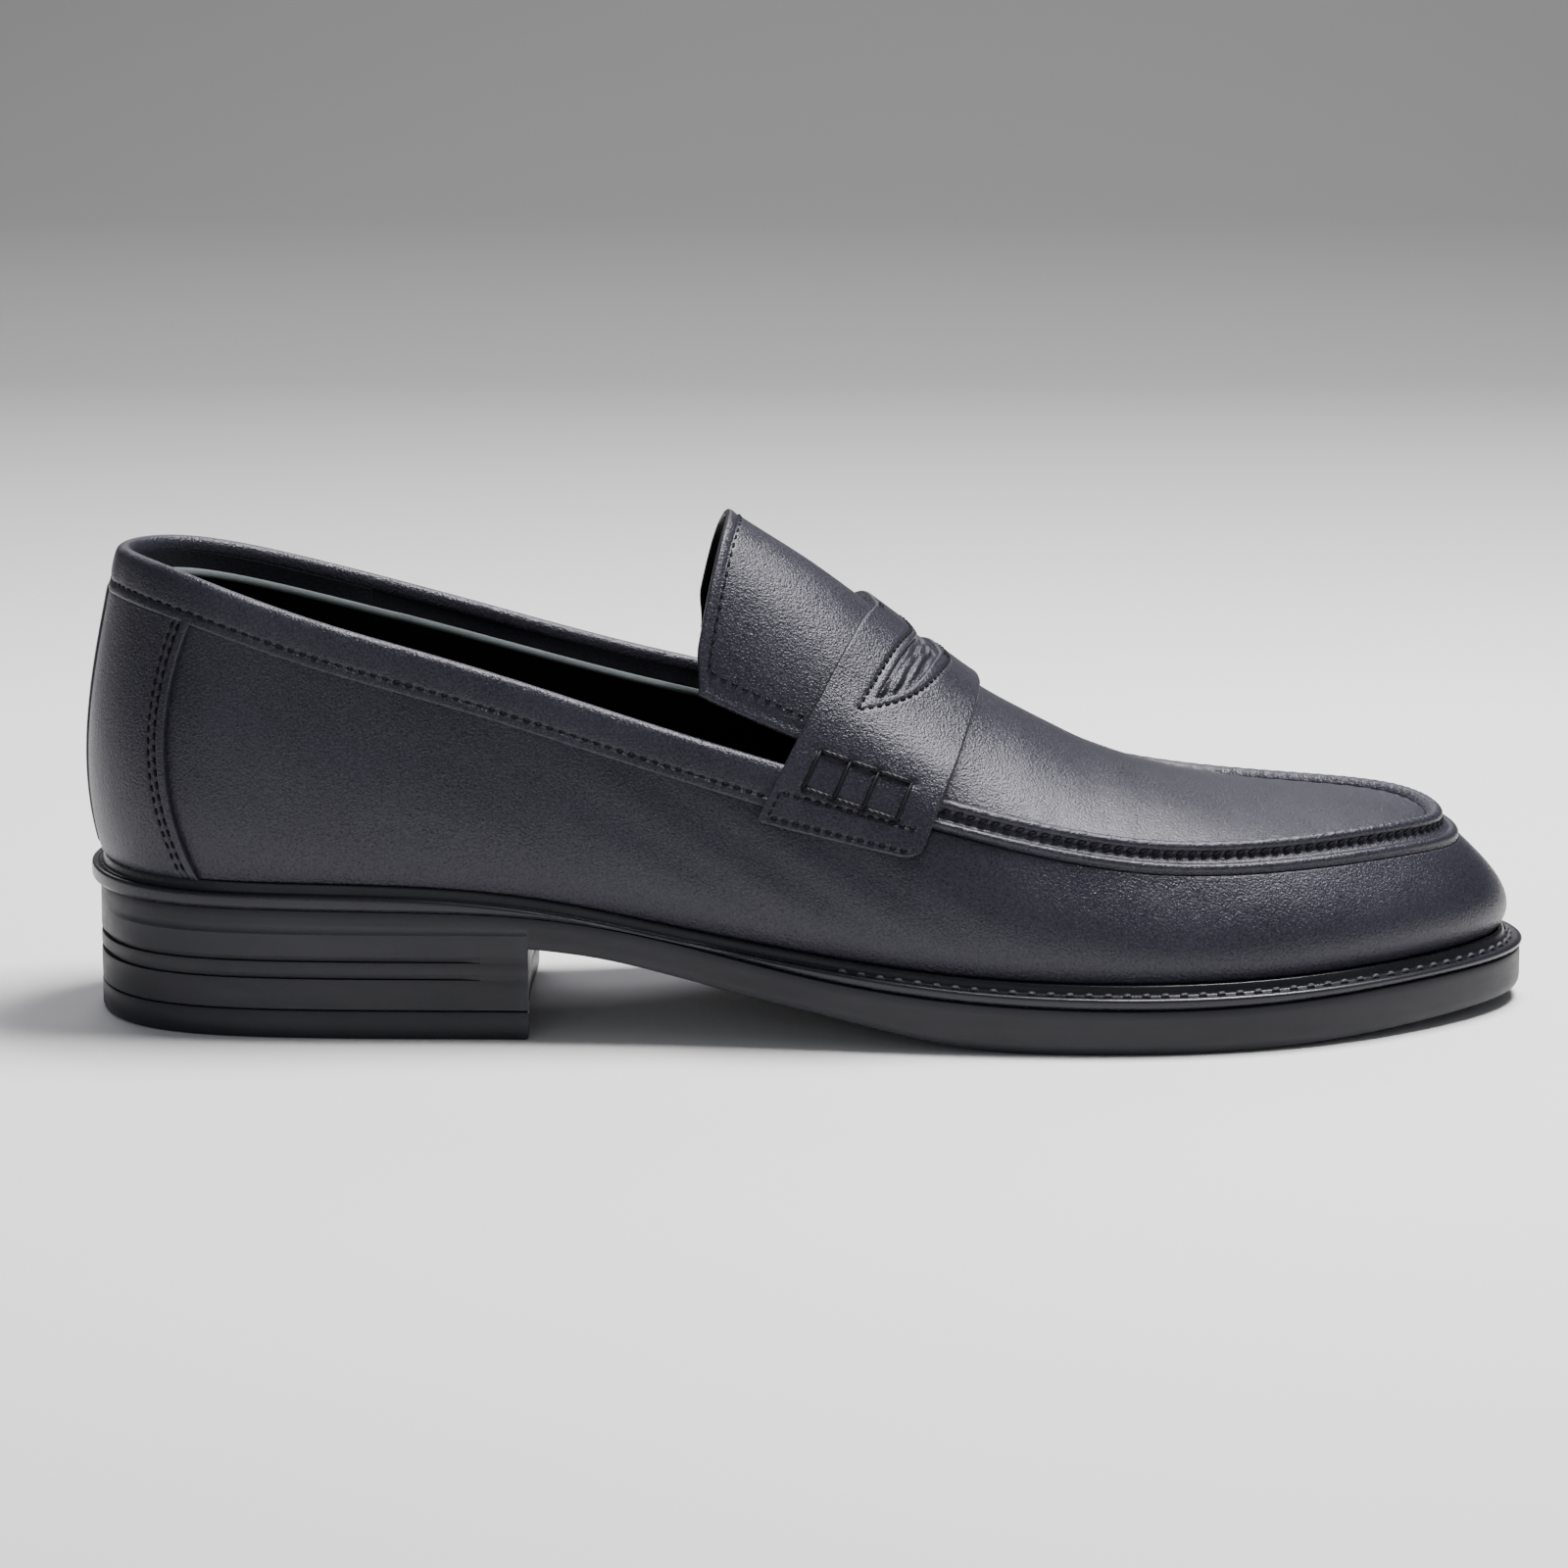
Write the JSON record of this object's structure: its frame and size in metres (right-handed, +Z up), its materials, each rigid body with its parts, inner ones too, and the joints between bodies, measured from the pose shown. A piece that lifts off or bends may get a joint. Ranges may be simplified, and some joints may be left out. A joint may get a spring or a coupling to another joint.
{
  "type": "penny loafer",
  "caption": "Slip-on leather shoe with a raised apron seam, a saddle strap with a slot, a short tongue, a welted rubber sole and a low block heel.",
  "frame": {"origin": "on the ground under the middle of the shoe", "axes": "+X towards the toe, +Y towards the medial side, +Z up"},
  "size_m": [0.3018, 0.1032, 0.1046],
  "materials": {
    "rubber": "satin moulded rubber",
    "sole_thread": "waxed thread",
    "steel": "plain spring steel",
    "cork": "cork sheet",
    "board": "fibre board",
    "foam": "open cell foam",
    "lining": "matte lining leather",
    "upper_leather": "grained, softly polished",
    "thread": "sewing thread",
    "tape": "woven tape",
    "cord": "round waxed cord"
  },
  "bodies": {
    "root": {"heel_top_lift": "rubber", "outsole": "rubber", "welt": "rubber", "welt_stitching": "sole_thread", "shank": "steel", "bottom_filler": "cork", "insole_board": "board", "heel_pad": "foam", "forefoot_sock": "lining", "heel_sock": "lining", "side_wall": "upper_leather", "heel_back_piece": "upper_leather", "back_seam_strip": "upper_leather", "back_piece_stitching_lateral": "thread", "back_piece_stitching_medial": "thread", "topline_binding": "upper_leather", "topline_stitching": "thread", "collar_padding_lateral": "foam", "collar_padding_medial": "foam", "quarter_lining_lateral": "lining", "quarter_lining_medial": "lining", "heel_grip": "lining", "heel_counter": "board", "vamp_lining": "lining", "toe_puff": "board", "lining_edge_tape": "tape", "apron": "upper_leather", "apron_lining": "lining", "apron_roll": "upper_leather", "apron_stitching": "thread", "tongue": "upper_leather", "tongue_lining": "lining", "tongue_stitching": "thread", "strap": "upper_leather", "slot_underlay": "upper_leather", "slot_stitching": "thread", "strap_end_stitching_lateral": "thread", "strap_end_stitching_medial": "thread", "strap_lacing_lateral": "cord", "strap_lacing_medial": "cord"}
  },
  "joints": []
}
